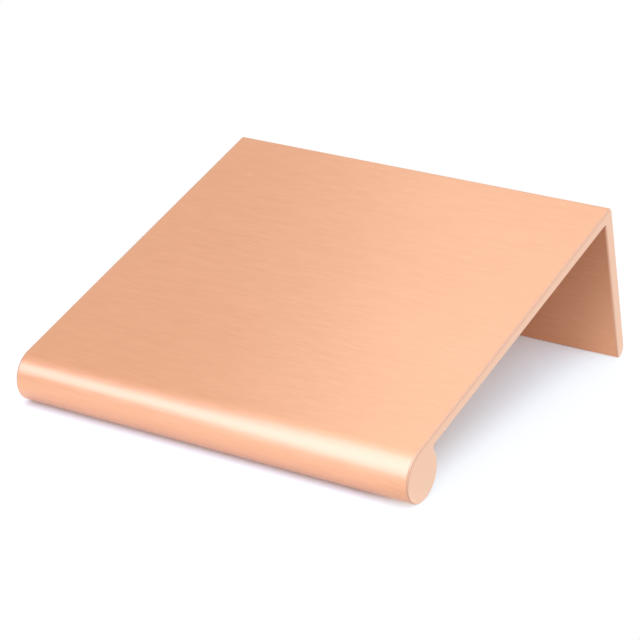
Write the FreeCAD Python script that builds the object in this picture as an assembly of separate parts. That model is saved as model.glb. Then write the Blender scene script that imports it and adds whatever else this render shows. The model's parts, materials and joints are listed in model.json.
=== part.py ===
"""Tab pull for a drawer or door edge: one extruded section, cut to width and drilled.

Millimetres, +Z up, X across the width, -Y towards the hand. The origin is midway between the two
screw holes, on the flange's mating face, which lies against the back of the drawer front.
"""
import FreeCAD
import Part
import math
import os

# Overall size
width = 50.0
depth = 49.0
height = 20.7

# Section
plate_thickness = 1.4
flange_thickness = 1.7
bead_diameter = 6.2
top_corner_radius = 0.5
inside_corner_radius = 0.35

# Share of the flange's thickness that is the radius of its foot's back edge; the front edge has the rest
foot_back_share = 0.7

# Rounding of the two sawn ends, and the most of a wall that it may take on each side
end_radius = 0.3
end_radius_wall_share = 0.25

# Countersunk screw holes in the flange
screw_spacing = 32.0
screw_drop = 9.0
screw_hole_diameter = 4.0
screw_head_diameter = 6.8
screw_head_angle = 90.0

# Heights and depths that follow from those sizes
underside_z = screw_drop
top_z = underside_z + plate_thickness
bottom_z = top_z - height
mating_y = 0.0
back_y = mating_y + flange_thickness
front_y = back_y - depth
bead_radius = bead_diameter / 2
bead_y = front_y + bead_radius
bead_z = top_z - bead_radius


def section_point(centre, radius, angle):
    """Point of the section, in the YZ plane, on a circle round a (y, z) centre."""
    y, z = centre
    return FreeCAD.Vector(0, y + radius * math.cos(angle), z + radius * math.sin(angle))


def section_arc(centre, radius, start_deg, end_deg):
    """Arc of the section from its start to its end angle, measured from +Y towards +Z."""
    start, end = math.radians(start_deg), math.radians(end_deg)
    angles = (start, (start + end) / 2, end)
    return Part.Arc(*(section_point(centre, radius, angle) for angle in angles)).toShape()


def joined_wire(arcs):
    """Closed wire of the arcs in their order, with a straight edge across each gap between two."""
    edges = []
    for arc, following in zip(arcs, arcs[1:] + arcs[:1]):
        edges.append(arc)
        start = arc.lastVertex().Point
        end = following.firstVertex().Point
        if not start.isEqual(end, Part.Precision.confusion()):
            edges.append(Part.makeLine(start, end))
    return Part.Wire(edges)


def pull_section():
    """Face of the section: plate with a bead under its front edge and a flange down its back."""
    top, inner = top_corner_radius, inside_corner_radius
    foot_back = foot_back_share * flange_thickness
    foot_front = flange_thickness - foot_back

    # The notch arc touches the plate's underside and the bead
    notch_z = underside_z - inner
    notch_rise = notch_z - bead_z
    notch_y = bead_y + math.sqrt((bead_radius + inner) ** 2 - notch_rise ** 2)
    notch_deg = math.degrees(math.atan2(notch_rise, notch_y - bead_y))

    # The circuit runs clockwise, seen from +X, from the back of the plate
    arcs = [
        section_arc((back_y - top, top_z - top), top, 90, 0),
        section_arc((back_y - foot_back, bottom_z + foot_back), foot_back, 0, -90),
        section_arc((mating_y + foot_front, bottom_z + foot_front), foot_front, -90, -180),
        section_arc((mating_y - inner, underside_z - inner), inner, 0, 90),
        section_arc((notch_y, notch_z), inner, 90, 180 + notch_deg),
        section_arc((bead_y, bead_z), bead_radius, notch_deg, -270),
    ]
    return Part.Face(joined_wire(arcs))


def extruded_bar(section):
    """The section carried across the width, with the edges round both sawn ends rounded."""
    bar = section.extrude(FreeCAD.Vector(width, 0, 0))
    bar.translate(FreeCAD.Vector(-width / 2, 0, 0))
    end_edges = [edge for edge in bar.Edges if edge.BoundBox.XLength < width / 2]
    thinnest_wall = min(plate_thickness, flange_thickness)
    return bar.makeFillet(min(end_radius, end_radius_wall_share * thinnest_wall), end_edges)


def screw_hole(x):
    """Cutter for one hole: a straight bore with a countersink open at the flange's back face."""
    bore_radius = screw_hole_diameter / 2
    head_radius = screw_head_diameter / 2
    sink_depth = (head_radius - bore_radius) / math.tan(math.radians(screw_head_angle / 2))
    into_flange = FreeCAD.Vector(0, -1, 0)
    mouth = FreeCAD.Vector(x, back_y, 0)
    bore = Part.makeCylinder(bore_radius, flange_thickness, mouth, into_flange)
    sink = Part.makeCone(head_radius, bore_radius, sink_depth, mouth, into_flange)
    return bore.fuse(sink)


os.makedirs("parts", exist_ok=True)
tab_pull = extruded_bar(pull_section())
for side in (-1, 1):
    tab_pull = tab_pull.cut(screw_hole(side * screw_spacing / 2))
tab_pull.exportStep("parts/tab_pull.step")
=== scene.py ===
"""Looks of the tab pull: its brushed copper skin, the white table it lies on, the light and the camera."""
import json
import math

import bpy
import numpy as np
from mathutils import Matrix, Vector


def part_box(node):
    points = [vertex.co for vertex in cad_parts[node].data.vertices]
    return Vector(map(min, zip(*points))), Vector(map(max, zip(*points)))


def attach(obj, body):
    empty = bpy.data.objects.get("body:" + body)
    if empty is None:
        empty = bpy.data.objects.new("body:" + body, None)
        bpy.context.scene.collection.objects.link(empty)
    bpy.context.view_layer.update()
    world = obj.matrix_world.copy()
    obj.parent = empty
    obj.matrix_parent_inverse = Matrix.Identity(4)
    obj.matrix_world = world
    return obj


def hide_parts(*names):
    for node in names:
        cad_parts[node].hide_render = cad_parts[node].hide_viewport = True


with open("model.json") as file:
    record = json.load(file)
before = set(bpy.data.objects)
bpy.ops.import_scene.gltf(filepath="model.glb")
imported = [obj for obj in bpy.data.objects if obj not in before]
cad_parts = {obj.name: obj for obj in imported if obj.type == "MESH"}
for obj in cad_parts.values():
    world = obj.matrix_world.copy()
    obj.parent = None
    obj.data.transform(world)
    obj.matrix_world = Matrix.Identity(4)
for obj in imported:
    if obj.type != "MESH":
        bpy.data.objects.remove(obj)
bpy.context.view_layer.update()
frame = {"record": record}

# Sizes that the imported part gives, in metres
MM = 0.001
low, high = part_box("tab_pull")
mounts = {mount["name"]: mount for mount in frame["record"]["mounts"]}
HALF_WIDTH = high.x
FRONT_Y = low.y
MATING_Y = mounts["mating_face"]["pos_m"][1]
BACK_Y = high.y
BOTTOM_Z = low.z
UNDERSIDE_Z = mounts["plate_underside"]["pos_m"][2]
TOP_Z = high.z
SCREW_X = mounts["screw_holes"]["dims"]["spacing_x_mm"] / 2 * MM
BORE_RADIUS = mounts["screw_holes"]["dims"]["hole_r_mm"] * MM

# Sizes of the section, its edges and its countersinks, whose sides slope at 45 degrees
BEAD_RADIUS = 3.1 * MM
TOP_RADIUS = 0.5 * MM
INSIDE_RADIUS = 0.35 * MM
END_RADIUS = 0.3 * MM
FOOT_BACK_SHARE = 0.7
FOOT_BACK_RADIUS = FOOT_BACK_SHARE * (BACK_Y - MATING_Y)
FOOT_FRONT_RADIUS = BACK_Y - MATING_Y - FOOT_BACK_RADIUS
SINK_RADIUS = 3.4 * MM
SINK_DEPTH = SINK_RADIUS - BORE_RADIUS
RIM_RADIUS = 0.08 * MM
BEAD_Y = FRONT_Y + BEAD_RADIUS
BEAD_Z = TOP_Z - BEAD_RADIUS

# Fineness of the mesh: steps of each arc, flat and collar
BEAD_STEPS = 96
CORNER_STEPS = 8
FLAT_STEPS = 24
MARGIN_STEPS = 4
END_STEPS = 8
HOLE_SIDE_STEPS = 14
COLLAR_STEPS = 5
RIM_STEPS = 4

# Half side of the square collar round a screw hole, and the slack in finding it on the grid
COLLAR_HALF = 5.0 * MM
TINY = 1e-7

# Copper: the brushed faces' two tones, the rounded edges' darker colour, which is painted shade, and the
# sawn ends' paler colour, which is partly painted light
BRUSHED_DEEP = (0.754, 0.347, 0.177, 1)
BRUSHED_PALE = (0.799, 0.378, 0.198, 1)
ROUNDED_EDGE_PAINTED_SHADE = (0.67, 0.353, 0.233, 1)
SAWN_END_AND_PAINTED_LIGHT = (0.94, 0.605, 0.428, 1)
BRUSHED_ROUGHNESS = (0.29, 0.34)
SAWN_ROUGHNESS = 0.5
SCRATCH_DEPTH = 0.01 * MM

# Weight of the fine scratches and of the clouds against the broad scratches
FINE_WEIGHT = 2.2
CLOUD_WEIGHT = 0.5

# Table: half its side, how far its middle lies behind the bead's line of contact, and its paint
TABLE_HALF = 0.6
TABLE_SHIFT = 0.02
TABLE_WHITE = (0.93, 0.9, 0.88, 1)

# Shaded rectangle of the table: its middle, half sides and soft edge, and the own light that is left in it
SHADE_MIDDLE = (-0.007, -0.045, 0)
SHADE_HALF = (0.025, 0.045, TABLE_HALF)
SHADE_EDGE = 0.012
SHADE_OWN_LIGHT = 0.14

# Camera, as the fitted view of the photograph gives it
CAMERA_TARGET = Vector((-0.00477, -0.01671, 0.0))
CAMERA_DISTANCE = 0.27942
CAMERA_AZIMUTH = math.radians(36.627)
CAMERA_ELEVATION = math.radians(35.889)
CAMERA_ROLL = math.radians(-10.309)
CAMERA_LENS = 134.377
CAMERA_SENSOR = 36.0
CAMERA_NEAR = 0.01

# Lamps: axis and radius of the cylinder they stand on, and their two cool colours
LAMP_AXIS = Vector((0, -0.02, 0))
LAMP_DISTANCE = 0.35
DAYLIGHT = (0.65, 1.0, 1.35)
SKYLIGHT = (0.7, 1.0, 1.8)


def arc(centre, radius, start_deg, end_deg, steps):
    """Points at the centre plus the radius times (cos, sin) of an evenly turning angle, and that
    (cos, sin), which is the outward normal. A negative radius makes a hollow corner."""
    angle = np.radians(np.linspace(start_deg, end_deg, steps + 1))
    normal = np.stack([np.cos(angle), np.sin(angle)], axis=1)
    return np.asarray(centre) + radius * normal, normal


def rounded_corner(corner, radius, start_deg, end_deg, steps):
    """Arc that touches both sides of a corner, whose outward normals stand at the start and end angles:
    its centre is the corner less the radius times the normals' sum over one plus their dot product."""
    ends = np.radians([start_deg, end_deg])
    first, last = np.stack([np.cos(ends), np.sin(ends)], axis=1)
    centre = np.asarray(corner) - radius * (first + last) / (1 + first @ last)
    return arc(centre, radius, start_deg, end_deg, steps)


def joined_runs(runs, inner_stations):
    """Chains arcs into one outline. After each arc come the points at the given shares of the straight
    stretch to the next arc, with that arc's last normal."""
    points, normals = [], []
    following = runs[1:] + runs[:1]
    for (run, normal), (next_run, _), shares in zip(runs, following, inner_stations):
        stretch = run[-1] + np.asarray(shares)[:, None] * (next_run[0] - run[-1])
        points += [run, stretch]
        normals += [normal, np.broadcast_to(normal[-1], stretch.shape)]
    return np.concatenate(points), np.concatenate(normals)


def collar_shares(start_z, end_z):
    """Shares of a flange face's height at which the collars round the screw holes have their rows."""
    first, last = (math.copysign(COLLAR_HALF, z) for z in (start_z, end_z))
    return (np.linspace(first, last, HOLE_SIDE_STEPS + 1) - start_z) / (end_z - start_z)


def section():
    """Outline of the section in (y, z) with its outward normals, clockwise seen from +X from the back top
    corner: three outside corners, the hollow corner, the notch, the bead, and the flats between them."""
    notch_z = UNDERSIDE_Z - INSIDE_RADIUS
    notch_y = BEAD_Y + math.sqrt((BEAD_RADIUS + INSIDE_RADIUS) ** 2 - (notch_z - BEAD_Z) ** 2)
    notch_deg = math.degrees(math.atan2(notch_z - BEAD_Z, notch_y - BEAD_Y))
    runs = [
        rounded_corner((BACK_Y, TOP_Z), TOP_RADIUS, 90, 0, CORNER_STEPS),
        rounded_corner((BACK_Y, BOTTOM_Z), FOOT_BACK_RADIUS, 0, -90, CORNER_STEPS),
        rounded_corner((MATING_Y, BOTTOM_Z), FOOT_FRONT_RADIUS, -90, -180, CORNER_STEPS),
        rounded_corner((MATING_Y, UNDERSIDE_Z), -INSIDE_RADIUS, -180, -90, CORNER_STEPS),
        arc((notch_y, notch_z), -INSIDE_RADIUS, -90, notch_deg, CORNER_STEPS),
        arc((BEAD_Y, BEAD_Z), BEAD_RADIUS, notch_deg, -270, BEAD_STEPS),
    ]
    flat_shares = np.arange(1, FLAT_STEPS) / FLAT_STEPS
    inner_stations = [
        collar_shares(TOP_Z - TOP_RADIUS, BOTTOM_Z + FOOT_BACK_RADIUS),
        [],
        collar_shares(BOTTOM_Z + FOOT_FRONT_RADIUS, UNDERSIDE_Z - INSIDE_RADIUS),
        flat_shares,
        [],
        flat_shares,
    ]
    # The foot's front arc and the bead start where the arcs before them end, and leave out that point
    foot_front, bead = 2, 5
    for touching in (foot_front, bead):
        runs[touching] = tuple(part[1:] for part in runs[touching])
    return joined_runs(runs, inner_stations)


def stations():
    """Places across the width: x, the section's inset and the normal's lean. Each end is a quarter turn
    of END_RADIUS, where x gains its sine and the inset is one less its cosine."""
    flat_end = HALF_WIDTH - END_RADIUS
    spans = [
        (-flat_end, -SCREW_X - COLLAR_HALF, MARGIN_STEPS),
        (-SCREW_X - COLLAR_HALF, -SCREW_X + COLLAR_HALF, HOLE_SIDE_STEPS),
        (-SCREW_X + COLLAR_HALF, SCREW_X - COLLAR_HALF, FLAT_STEPS),
        (SCREW_X - COLLAR_HALF, SCREW_X + COLLAR_HALF, HOLE_SIDE_STEPS),
        (SCREW_X + COLLAR_HALF, flat_end, MARGIN_STEPS),
    ]
    flat = np.concatenate([np.linspace(*span, endpoint=False) for span in spans] + [[flat_end]])
    turn = np.linspace(0, math.pi / 2, END_STEPS + 1)[1:]
    lean = np.concatenate([-turn[::-1], np.zeros(len(flat)), turn])
    x = np.pad(flat, END_STEPS, mode="edge") + END_RADIUS * np.sin(lean)
    return x, END_RADIUS * (1 - np.cos(lean)), lean


def grid_corners(grid):
    """The four corners of each cell of a grid, in the order that faces outwards."""
    return np.stack([grid[:-1, :-1], grid[:-1, 1:], grid[1:, 1:], grid[1:, :-1]], axis=2)


def pull_skin():
    """The section carried across the width. At each x the outline moves in by the inset along its normals,
    which lean out by the sine and keep the cosine of the lean. The grain of a point is its run round the
    section, with the first point again at the end, and its x."""
    points, normals = section()
    x, inset, lean = stations()
    shape = (len(points), len(x), 1)
    outline = points[:, None] - inset[:, None] * normals[:, None]
    skin = np.concatenate([np.broadcast_to(x[:, None], shape), outline], axis=2)
    upright = np.cos(lean)[:, None] * normals[:, None]
    skin_normals = np.concatenate([np.broadcast_to(np.sin(lean)[:, None], shape), upright], axis=2)
    steps = np.diff(points, axis=0, prepend=points[:1], append=points[:1])
    run = np.cumsum(np.linalg.norm(steps, axis=1))
    return skin, skin_normals, np.stack(np.broadcast_arrays(run[:, None], x), axis=2)


def sleeve_profile():
    """Outline of a screw hole in (radius, y) with normals, from the back face to the mating face: rounded
    rim, countersink, rounded step, bore and rounded rim."""
    step_y = BACK_Y - SINK_DEPTH
    runs = [
        rounded_corner((SINK_RADIUS, BACK_Y), RIM_RADIUS, 90, 135, RIM_STEPS),
        rounded_corner((BORE_RADIUS, step_y), RIM_RADIUS, 135, 180, RIM_STEPS),
        rounded_corner((BORE_RADIUS, MATING_Y), RIM_RADIUS, 180, 270, RIM_STEPS),
    ]
    return tuple(np.concatenate(parts) for parts in zip(*runs))


def turned(outline, angle):
    """An outline in (radius, y) turned round the Y axis: x and z are the radius times the angle's cosine
    and sine."""
    radius, y = outline[:, :1], outline[:, 1:]
    return np.stack(np.broadcast_arrays(radius * np.cos(angle), y, radius * np.sin(angle)), axis=2)


def collar_block(skin, hole_x, face_y):
    """Rows and columns of the skin that lie on one face of the flange, in the square round a hole."""
    columns = np.flatnonzero(np.abs(skin[0, :, 0] - hole_x) < COLLAR_HALF + TINY)
    y, z = skin[:, columns[0], 1], skin[:, columns[0], 2]
    rows = np.flatnonzero((np.abs(y - face_y) < TINY) & (np.abs(z) < COLLAR_HALF + TINY))
    return rows, columns


def block_border(block):
    """The outermost entries of a square block, once round it."""
    return np.concatenate([block[0, :-1], block[:-1, -1], block[-1, :0:-1], block[:0:-1, 0]])


def hole_rings(hole_x, back_square, mating_square):
    """Rings of one screw hole, between the squares round it on the flange's back and mating faces: its
    outline turned round its axis, and collars at even shares of the way from each square to the rim. The
    collars keep the flange's grain, (z, x), and the hole's is the run along its outline and round it."""
    profile, profile_normals = sleeve_profile()
    angle = np.arctan2(back_square[:, 2], back_square[:, 0] - hole_x)
    sleeve = turned(profile, angle) + (hole_x, 0, 0)
    share = (np.arange(1, COLLAR_STEPS) / COLLAR_STEPS)[:, None, None]
    back = (1 - share) * back_square + share * sleeve[0]
    front = share * mating_square + (1 - share) * sleeve[-1]
    rings = np.concatenate([back, sleeve, front])
    back_normals = np.broadcast_to((0.0, 1.0, 0.0), back.shape)
    front_normals = np.broadcast_to((0.0, -1.0, 0.0), front.shape)
    ring_normals = np.concatenate([back_normals, turned(profile_normals, angle), front_normals])

    # The first point of each ring comes again at its end
    full_turn = np.unwrap(np.append(angle, angle[0] + 2 * math.pi * np.sign(angle[1] - angle[0])))
    run = np.cumsum(np.linalg.norm(np.diff(profile, axis=0, prepend=profile[:1]), axis=1))
    sleeve_grain = np.stack(np.broadcast_arrays(run[:, None], BORE_RADIUS * full_turn), axis=2)
    flat_grain = np.concatenate([back_square[None], rings, mating_square[None]])[:, :, [2, 0]]
    flat_grain = np.concatenate([flat_grain, flat_grain[:, :1]], axis=1)
    grain = np.concatenate([flat_grain[:COLLAR_STEPS], sleeve_grain, flat_grain[-COLLAR_STEPS:]])
    return rings, ring_normals, grain


def pull_mesh():
    """The pull's closed surface: the skin less the squares round the screw holes, the rings of each hole,
    from the square on the flange's back to the one on its mating face, and the two flat ends."""
    skin, skin_normals, skin_grain = pull_skin()
    numbers = np.arange(skin.shape[0] * skin.shape[1]).reshape(skin.shape[:2])
    cells = grid_corners(np.vstack([numbers, numbers[:1]]))
    keep = np.ones(cells.shape[:2], dtype=bool)
    vertices, normals = [skin.reshape(-1, 3)], [skin_normals.reshape(-1, 3)]
    quads, quad_grain = [], []
    for hole_x in (-SCREW_X, SCREW_X):
        borders = []
        for face_y, order in ((BACK_Y, 1), (MATING_Y, -1)):
            rows, columns = collar_block(skin, hole_x, face_y)
            keep[rows[0]:rows[-1], columns[0]:columns[-1]] = False
            borders.append(block_border(numbers[np.ix_(rows[::order], columns)]))
        squares = [vertices[0][border] for border in borders]
        rings, ring_normals, ring_grain = hole_rings(hole_x, *squares)
        ring_numbers = np.arange(rings.shape[0] * rings.shape[1]).reshape(rings.shape[:2])
        stack = np.vstack([borders[0], sum(map(len, vertices)) + ring_numbers, borders[1]])
        vertices.append(rings.reshape(-1, 3))
        normals.append(ring_normals.reshape(-1, 3))
        quads.append(grid_corners(np.hstack([stack, stack[:, :1]])).reshape(-1, 4))
        quad_grain.append(grid_corners(ring_grain).reshape(-1, 4, 2))
    vertices, normals = np.concatenate(vertices), np.concatenate(normals)
    quads = np.concatenate([cells[keep]] + quads)
    quad_grain = np.concatenate([grid_corners(skin_grain)[keep]] + quad_grain)
    ends = [numbers[:, 0], numbers[::-1, -1]]
    end_grain = [vertices[end][:, [2, 1]] for end in ends]

    # Vertices that a hole has left without a face are dropped
    used, corners = np.unique(np.concatenate([quads.ravel()] + ends), return_inverse=True)
    quad_list = corners[:quads.size].reshape(-1, 4).tolist()
    end_list = corners[quads.size:].reshape(2, -1).tolist()
    mesh = bpy.data.meshes.new("brushed_pull")
    mesh.from_pydata(vertices[used].tolist(), [], quad_list + end_list)
    mesh.polygons.foreach_set("use_smooth", np.ones(len(mesh.polygons), dtype=bool))
    corner_grain = np.concatenate([quad_grain.reshape(-1, 2)] + end_grain)
    mesh.uv_layers.new(name="grain").data.foreach_set("uv", corner_grain.ravel())
    mesh.normals_split_custom_set_from_vertices(normals[used].tolist())
    return mesh


def add_node(tree, kind, **settings):
    """A node of the kind. A setting that names an input, or numbers it as in i0, sets it or links it from a
    socket, and any other sets the node."""
    node = tree.nodes.new(kind)
    for name, value in settings.items():
        if name in node.bl_rna.properties:
            setattr(node, name, value)
            continue
        socket = node.inputs[int(name[1:])] if name[1:].isdigit() else node.inputs[name.replace("_", " ")]
        if isinstance(value, bpy.types.NodeSocket):
            tree.links.new(value, socket)
        else:
            socket.default_value = value
    return node


def add_math(tree, operation, *inputs):
    """What a Math node gives for the inputs."""
    numbered = {f"i{number}": value for number, value in enumerate(inputs)}
    return add_node(tree, "ShaderNodeMath", operation=operation, **numbered).outputs[0]


def add_vector_math(tree, operation, *inputs, output="Vector"):
    """What a Vector Math node gives for the inputs."""
    numbered = {f"i{number}": value for number, value in enumerate(inputs)}
    return add_node(tree, "ShaderNodeVectorMath", operation=operation, **numbered).outputs[output]


def new_material(name):
    """An empty node material and its tree."""
    material = bpy.data.materials.new(name)
    material.use_nodes = True
    material.node_tree.nodes.clear()
    return material, material.node_tree


def brushed_copper():
    """Copper-coloured metal under clear lacquer, brushed across the width: noise drawn out along the grain
    varies the tone, the roughness and the height.
    The normal's share of x tells the rounded edges and the sawn ends from the brushed faces. The rounded
    edges' darker colour is painted shade, which tones down the lamps' reflection there; the sawn ends have a
    rougher cut finish and a paler colour, which is partly painted light."""
    material, tree = new_material("brushed_copper")
    grain = add_node(tree, "ShaderNodeUVMap", uv_map="grain").outputs["UV"]

    def streaks(across, along, wave):
        """Noise in streaks: periods per metre across and along the grain, and how far they wave."""
        noise = add_node(
            tree,
            "ShaderNodeTexNoise",
            noise_dimensions="2D",
            Vector=add_vector_math(tree, "MULTIPLY", grain, (across, along, 1)),
            Scale=1.0,
            Detail=2.0,
            Distortion=wave,
        )
        return noise.outputs["Fac"]

    def spread(value, **limits):
        """The value carried from one pair of limits to another."""
        return add_node(tree, "ShaderNodeMapRange", Value=value, **limits).outputs[0]

    def blend(share, first, second):
        """A colour between two, by the share of the second."""
        return add_node(tree, "ShaderNodeMix", data_type="RGBA", i0=share, i6=first, i7=second).outputs[2]

    fine = streaks(across=3600, along=330, wave=0.3)
    broad = streaks(across=1300, along=90, wave=0.2)
    cloud = streaks(across=90, along=60, wave=0.0)
    scratch = add_math(tree, "MULTIPLY_ADD", fine, FINE_WEIGHT, broad)
    mottled = add_math(tree, "MULTIPLY_ADD", cloud, CLOUD_WEIGHT, scratch)
    tone = spread(mottled, From_Min=1.2, From_Max=2.5)
    normal = add_node(tree, "ShaderNodeTexCoord").outputs["Normal"]
    facing = add_node(tree, "ShaderNodeSeparateXYZ", Vector=normal)
    sideways = add_math(tree, "ABSOLUTE", facing.outputs["X"])
    # Rounded edges and ends: a rougher finish, and on the rounded edges a darker colour, which is painted
    # shade that tones down the lamps' reflection there
    edge = spread(sideways, From_Min=0.1, From_Max=0.3)
    # Sawn ends: a paler colour, which is partly their cut finish and partly painted light on the end faces
    sawn_and_painted_light = spread(sideways, From_Min=0.6, From_Max=0.95)
    brushed = blend(tone, BRUSHED_DEEP, BRUSHED_PALE)
    colour = blend(sawn_and_painted_light, blend(edge, brushed, ROUNDED_EDGE_PAINTED_SHADE), SAWN_END_AND_PAINTED_LIGHT)
    smoothest, roughest = BRUSHED_ROUGHNESS
    brushed_rough = spread(scratch, From_Min=1.0, From_Max=2.2, To_Min=smoothest, To_Max=roughest)
    rough = spread(edge, To_Min=brushed_rough, To_Max=SAWN_ROUGHNESS)
    bump = add_node(tree, "ShaderNodeBump", Strength=0.2, Distance=SCRATCH_DEPTH, Height=scratch).outputs[0]
    tangent = add_node(tree, "ShaderNodeTangent", direction_type="UV_MAP", uv_map="grain").outputs[0]
    shader = add_node(
        tree,
        "ShaderNodeBsdfPrincipled",
        Base_Color=colour,
        Metallic=1.0,
        Roughness=rough,
        Normal=bump,
        Tangent=tangent,
        Anisotropic=0.8,
        Coat_Weight=0.6,
        Coat_Roughness=0.25,
        Coat_IOR=1.5,
    )
    add_node(tree, "ShaderNodeOutputMaterial", Surface=shader.outputs[0])
    return material


def rest_tilt():
    """Angle of the table that carries the bead and the flange's lower inner edge: the slope between the
    two round edges' centres, less what the bead's larger radius lifts it."""
    across = MATING_Y + FOOT_FRONT_RADIUS - BEAD_Y
    drop = BEAD_Z - BOTTOM_Z - FOOT_FRONT_RADIUS
    return math.atan2(drop, across) - math.asin((BEAD_RADIUS - FOOT_FRONT_RADIUS) / math.hypot(across, drop))


def table_mesh():
    """One square under the bead and the flange, tilted so that it touches both: its corners are its middle
    with half its side added or taken away along x and along the slope."""
    tilt = rest_tilt()
    up = Vector((0, math.sin(tilt), math.cos(tilt)))
    contact = Vector((0, BEAD_Y, BEAD_Z)) - BEAD_RADIUS * up
    side = Vector((1, 0, 0))
    forth = up.cross(side)
    middle = contact + TABLE_SHIFT * forth
    signs = ((-1, -1), (1, -1), (1, 1), (-1, 1))
    corners = [tuple(middle + TABLE_HALF * (a * side + b * forth)) for a, b in signs]
    mesh = bpy.data.meshes.new("table")
    mesh.from_pydata(corners, [], [(0, 1, 2, 3)])
    return mesh


def shown_rays(tree):
    """1 for the rays that show the background, which come from the camera, off metal or through glass, and
    0 for those that only light a surface."""
    rays = add_node(tree, "ShaderNodeLightPath").outputs
    direct = add_math(tree, "MAXIMUM", rays["Is Camera Ray"], rays["Is Glossy Ray"])
    return add_math(tree, "MAXIMUM", direct, rays["Is Transmission Ray"])


def white_table():
    """White paint with a light of its own, which makes it as white as the room to the rays that show it. In
    the pull's shade that light is low, and it rises smoothly with the distance outside the shaded rectangle,
    which is the length of what the place lies beyond its half sides. From below the table is clear."""
    material, tree = new_material("white_table")
    place = add_node(tree, "ShaderNodeTexCoord").outputs["Object"]
    folded = add_vector_math(tree, "ABSOLUTE", add_vector_math(tree, "SUBTRACT", place, SHADE_MIDDLE))
    beyond = add_vector_math(tree, "SUBTRACT", folded, SHADE_HALF)
    outside = add_vector_math(tree, "MAXIMUM", beyond, (0, 0, 0))
    fade = add_node(
        tree,
        "ShaderNodeMapRange",
        interpolation_type="SMOOTHSTEP",
        Value=add_vector_math(tree, "LENGTH", outside, output="Value"),
        From_Min=0.0,
        From_Max=SHADE_EDGE,
        To_Min=SHADE_OWN_LIGHT,
    ).outputs[0]
    paint = add_node(tree, "ShaderNodeBsdfDiffuse", Color=TABLE_WHITE).outputs[0]
    glow = add_node(tree, "ShaderNodeEmission", Strength=1.0).outputs[0]
    own_light = add_math(tree, "MULTIPLY", fade, shown_rays(tree))
    above = add_node(tree, "ShaderNodeMixShader", Fac=own_light, i1=paint, i2=glow).outputs[0]
    below = add_node(tree, "ShaderNodeBsdfTransparent").outputs[0]
    behind = add_node(tree, "ShaderNodeNewGeometry").outputs["Backfacing"]
    shown = add_node(tree, "ShaderNodeMixShader", Fac=behind, i1=above, i2=below).outputs[0]
    add_node(tree, "ShaderNodeOutputMaterial", Surface=shown)
    return material


def white_room():
    """Even white all round."""
    room = bpy.data.worlds.new("white_room")
    room.use_nodes = True
    background = room.node_tree.nodes["Background"]
    background.inputs["Color"].default_value = (1, 1, 1, 1)
    background.inputs["Strength"].default_value = 1.0
    bpy.context.scene.world = room


def softbox(name, angle, spread, x_range, radiance, colour):
    """Flat area lamp on a cylinder round the width's axis: it stands at an angle from +Y towards +Z, covers
    a spread of angles, both in degrees, and a range of x, faces the axis, and has the radiance on its whole
    face."""
    from_x, to_x = x_range
    turn = math.radians(angle)
    out = Vector((0, math.cos(turn), math.sin(turn)))
    along = Vector((1, 0, 0))
    lamp = bpy.data.lights.new(name, "AREA")
    lamp.shape = "RECTANGLE"
    lamp.size = to_x - from_x
    lamp.size_y = 2 * LAMP_DISTANCE * math.tan(math.radians(spread) / 2)
    lamp.energy = radiance * math.pi * lamp.size * lamp.size_y
    lamp.color = colour
    light = bpy.data.objects.new(name, lamp)
    place = LAMP_AXIS + LAMP_DISTANCE * out + (from_x + to_x) / 2 * along
    facing = Matrix((along, out.cross(along), out)).transposed().to_4x4()
    light.matrix_world = Matrix.Translation(place) @ facing
    light.visible_camera = False
    bpy.context.scene.collection.objects.link(light)


def photo_camera():
    """Camera at the photograph's angle: turned by its azimuth, tipped by its elevation, then rolled."""
    turn = Matrix.Rotation(CAMERA_AZIMUTH, 4, "Z")
    tip = Matrix.Rotation(math.pi / 2 - CAMERA_ELEVATION, 4, "X")
    roll = Matrix.Rotation(CAMERA_ROLL, 4, "Z")
    pose = turn @ tip
    place = CAMERA_TARGET + CAMERA_DISTANCE * pose.col[2].to_3d()
    camera = bpy.data.objects.new("camera", bpy.data.cameras.new("camera"))
    camera.data.lens = CAMERA_LENS
    camera.data.sensor_width = CAMERA_SENSOR
    camera.data.clip_start = CAMERA_NEAR
    camera.matrix_world = Matrix.Translation(place) @ pose @ roll
    bpy.context.scene.collection.objects.link(camera)
    bpy.context.scene.camera = camera


pull = bpy.data.objects.new("brushed_pull", pull_mesh())
bpy.context.scene.collection.objects.link(pull)
pull.data.materials.append(brushed_copper())
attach(pull, "root")
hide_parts("tab_pull")

floor = bpy.data.objects.new("table", table_mesh())
bpy.context.scene.collection.objects.link(floor)
floor.data.materials.append(white_table())

white_room()
softbox("back_panel", angle=63, spread=52, x_range=(-0.19, 0.0), radiance=0.74, colour=DAYLIGHT)
softbox("key_softbox", angle=100, spread=50, x_range=(0.07, 0.42), radiance=3.7, colour=DAYLIGHT)
softbox("top_softbox", angle=100, spread=24, x_range=(-0.19, -0.07), radiance=1.75, colour=SKYLIGHT)
softbox("front_softbox", angle=129, spread=34, x_range=(-0.31, -0.07), radiance=1.8, colour=SKYLIGHT)
softbox("low_softbox", angle=153, spread=14, x_range=(-0.19, -0.07), radiance=1.5, colour=SKYLIGHT)
photo_camera()
bpy.context.scene.view_settings.view_transform = "Standard"
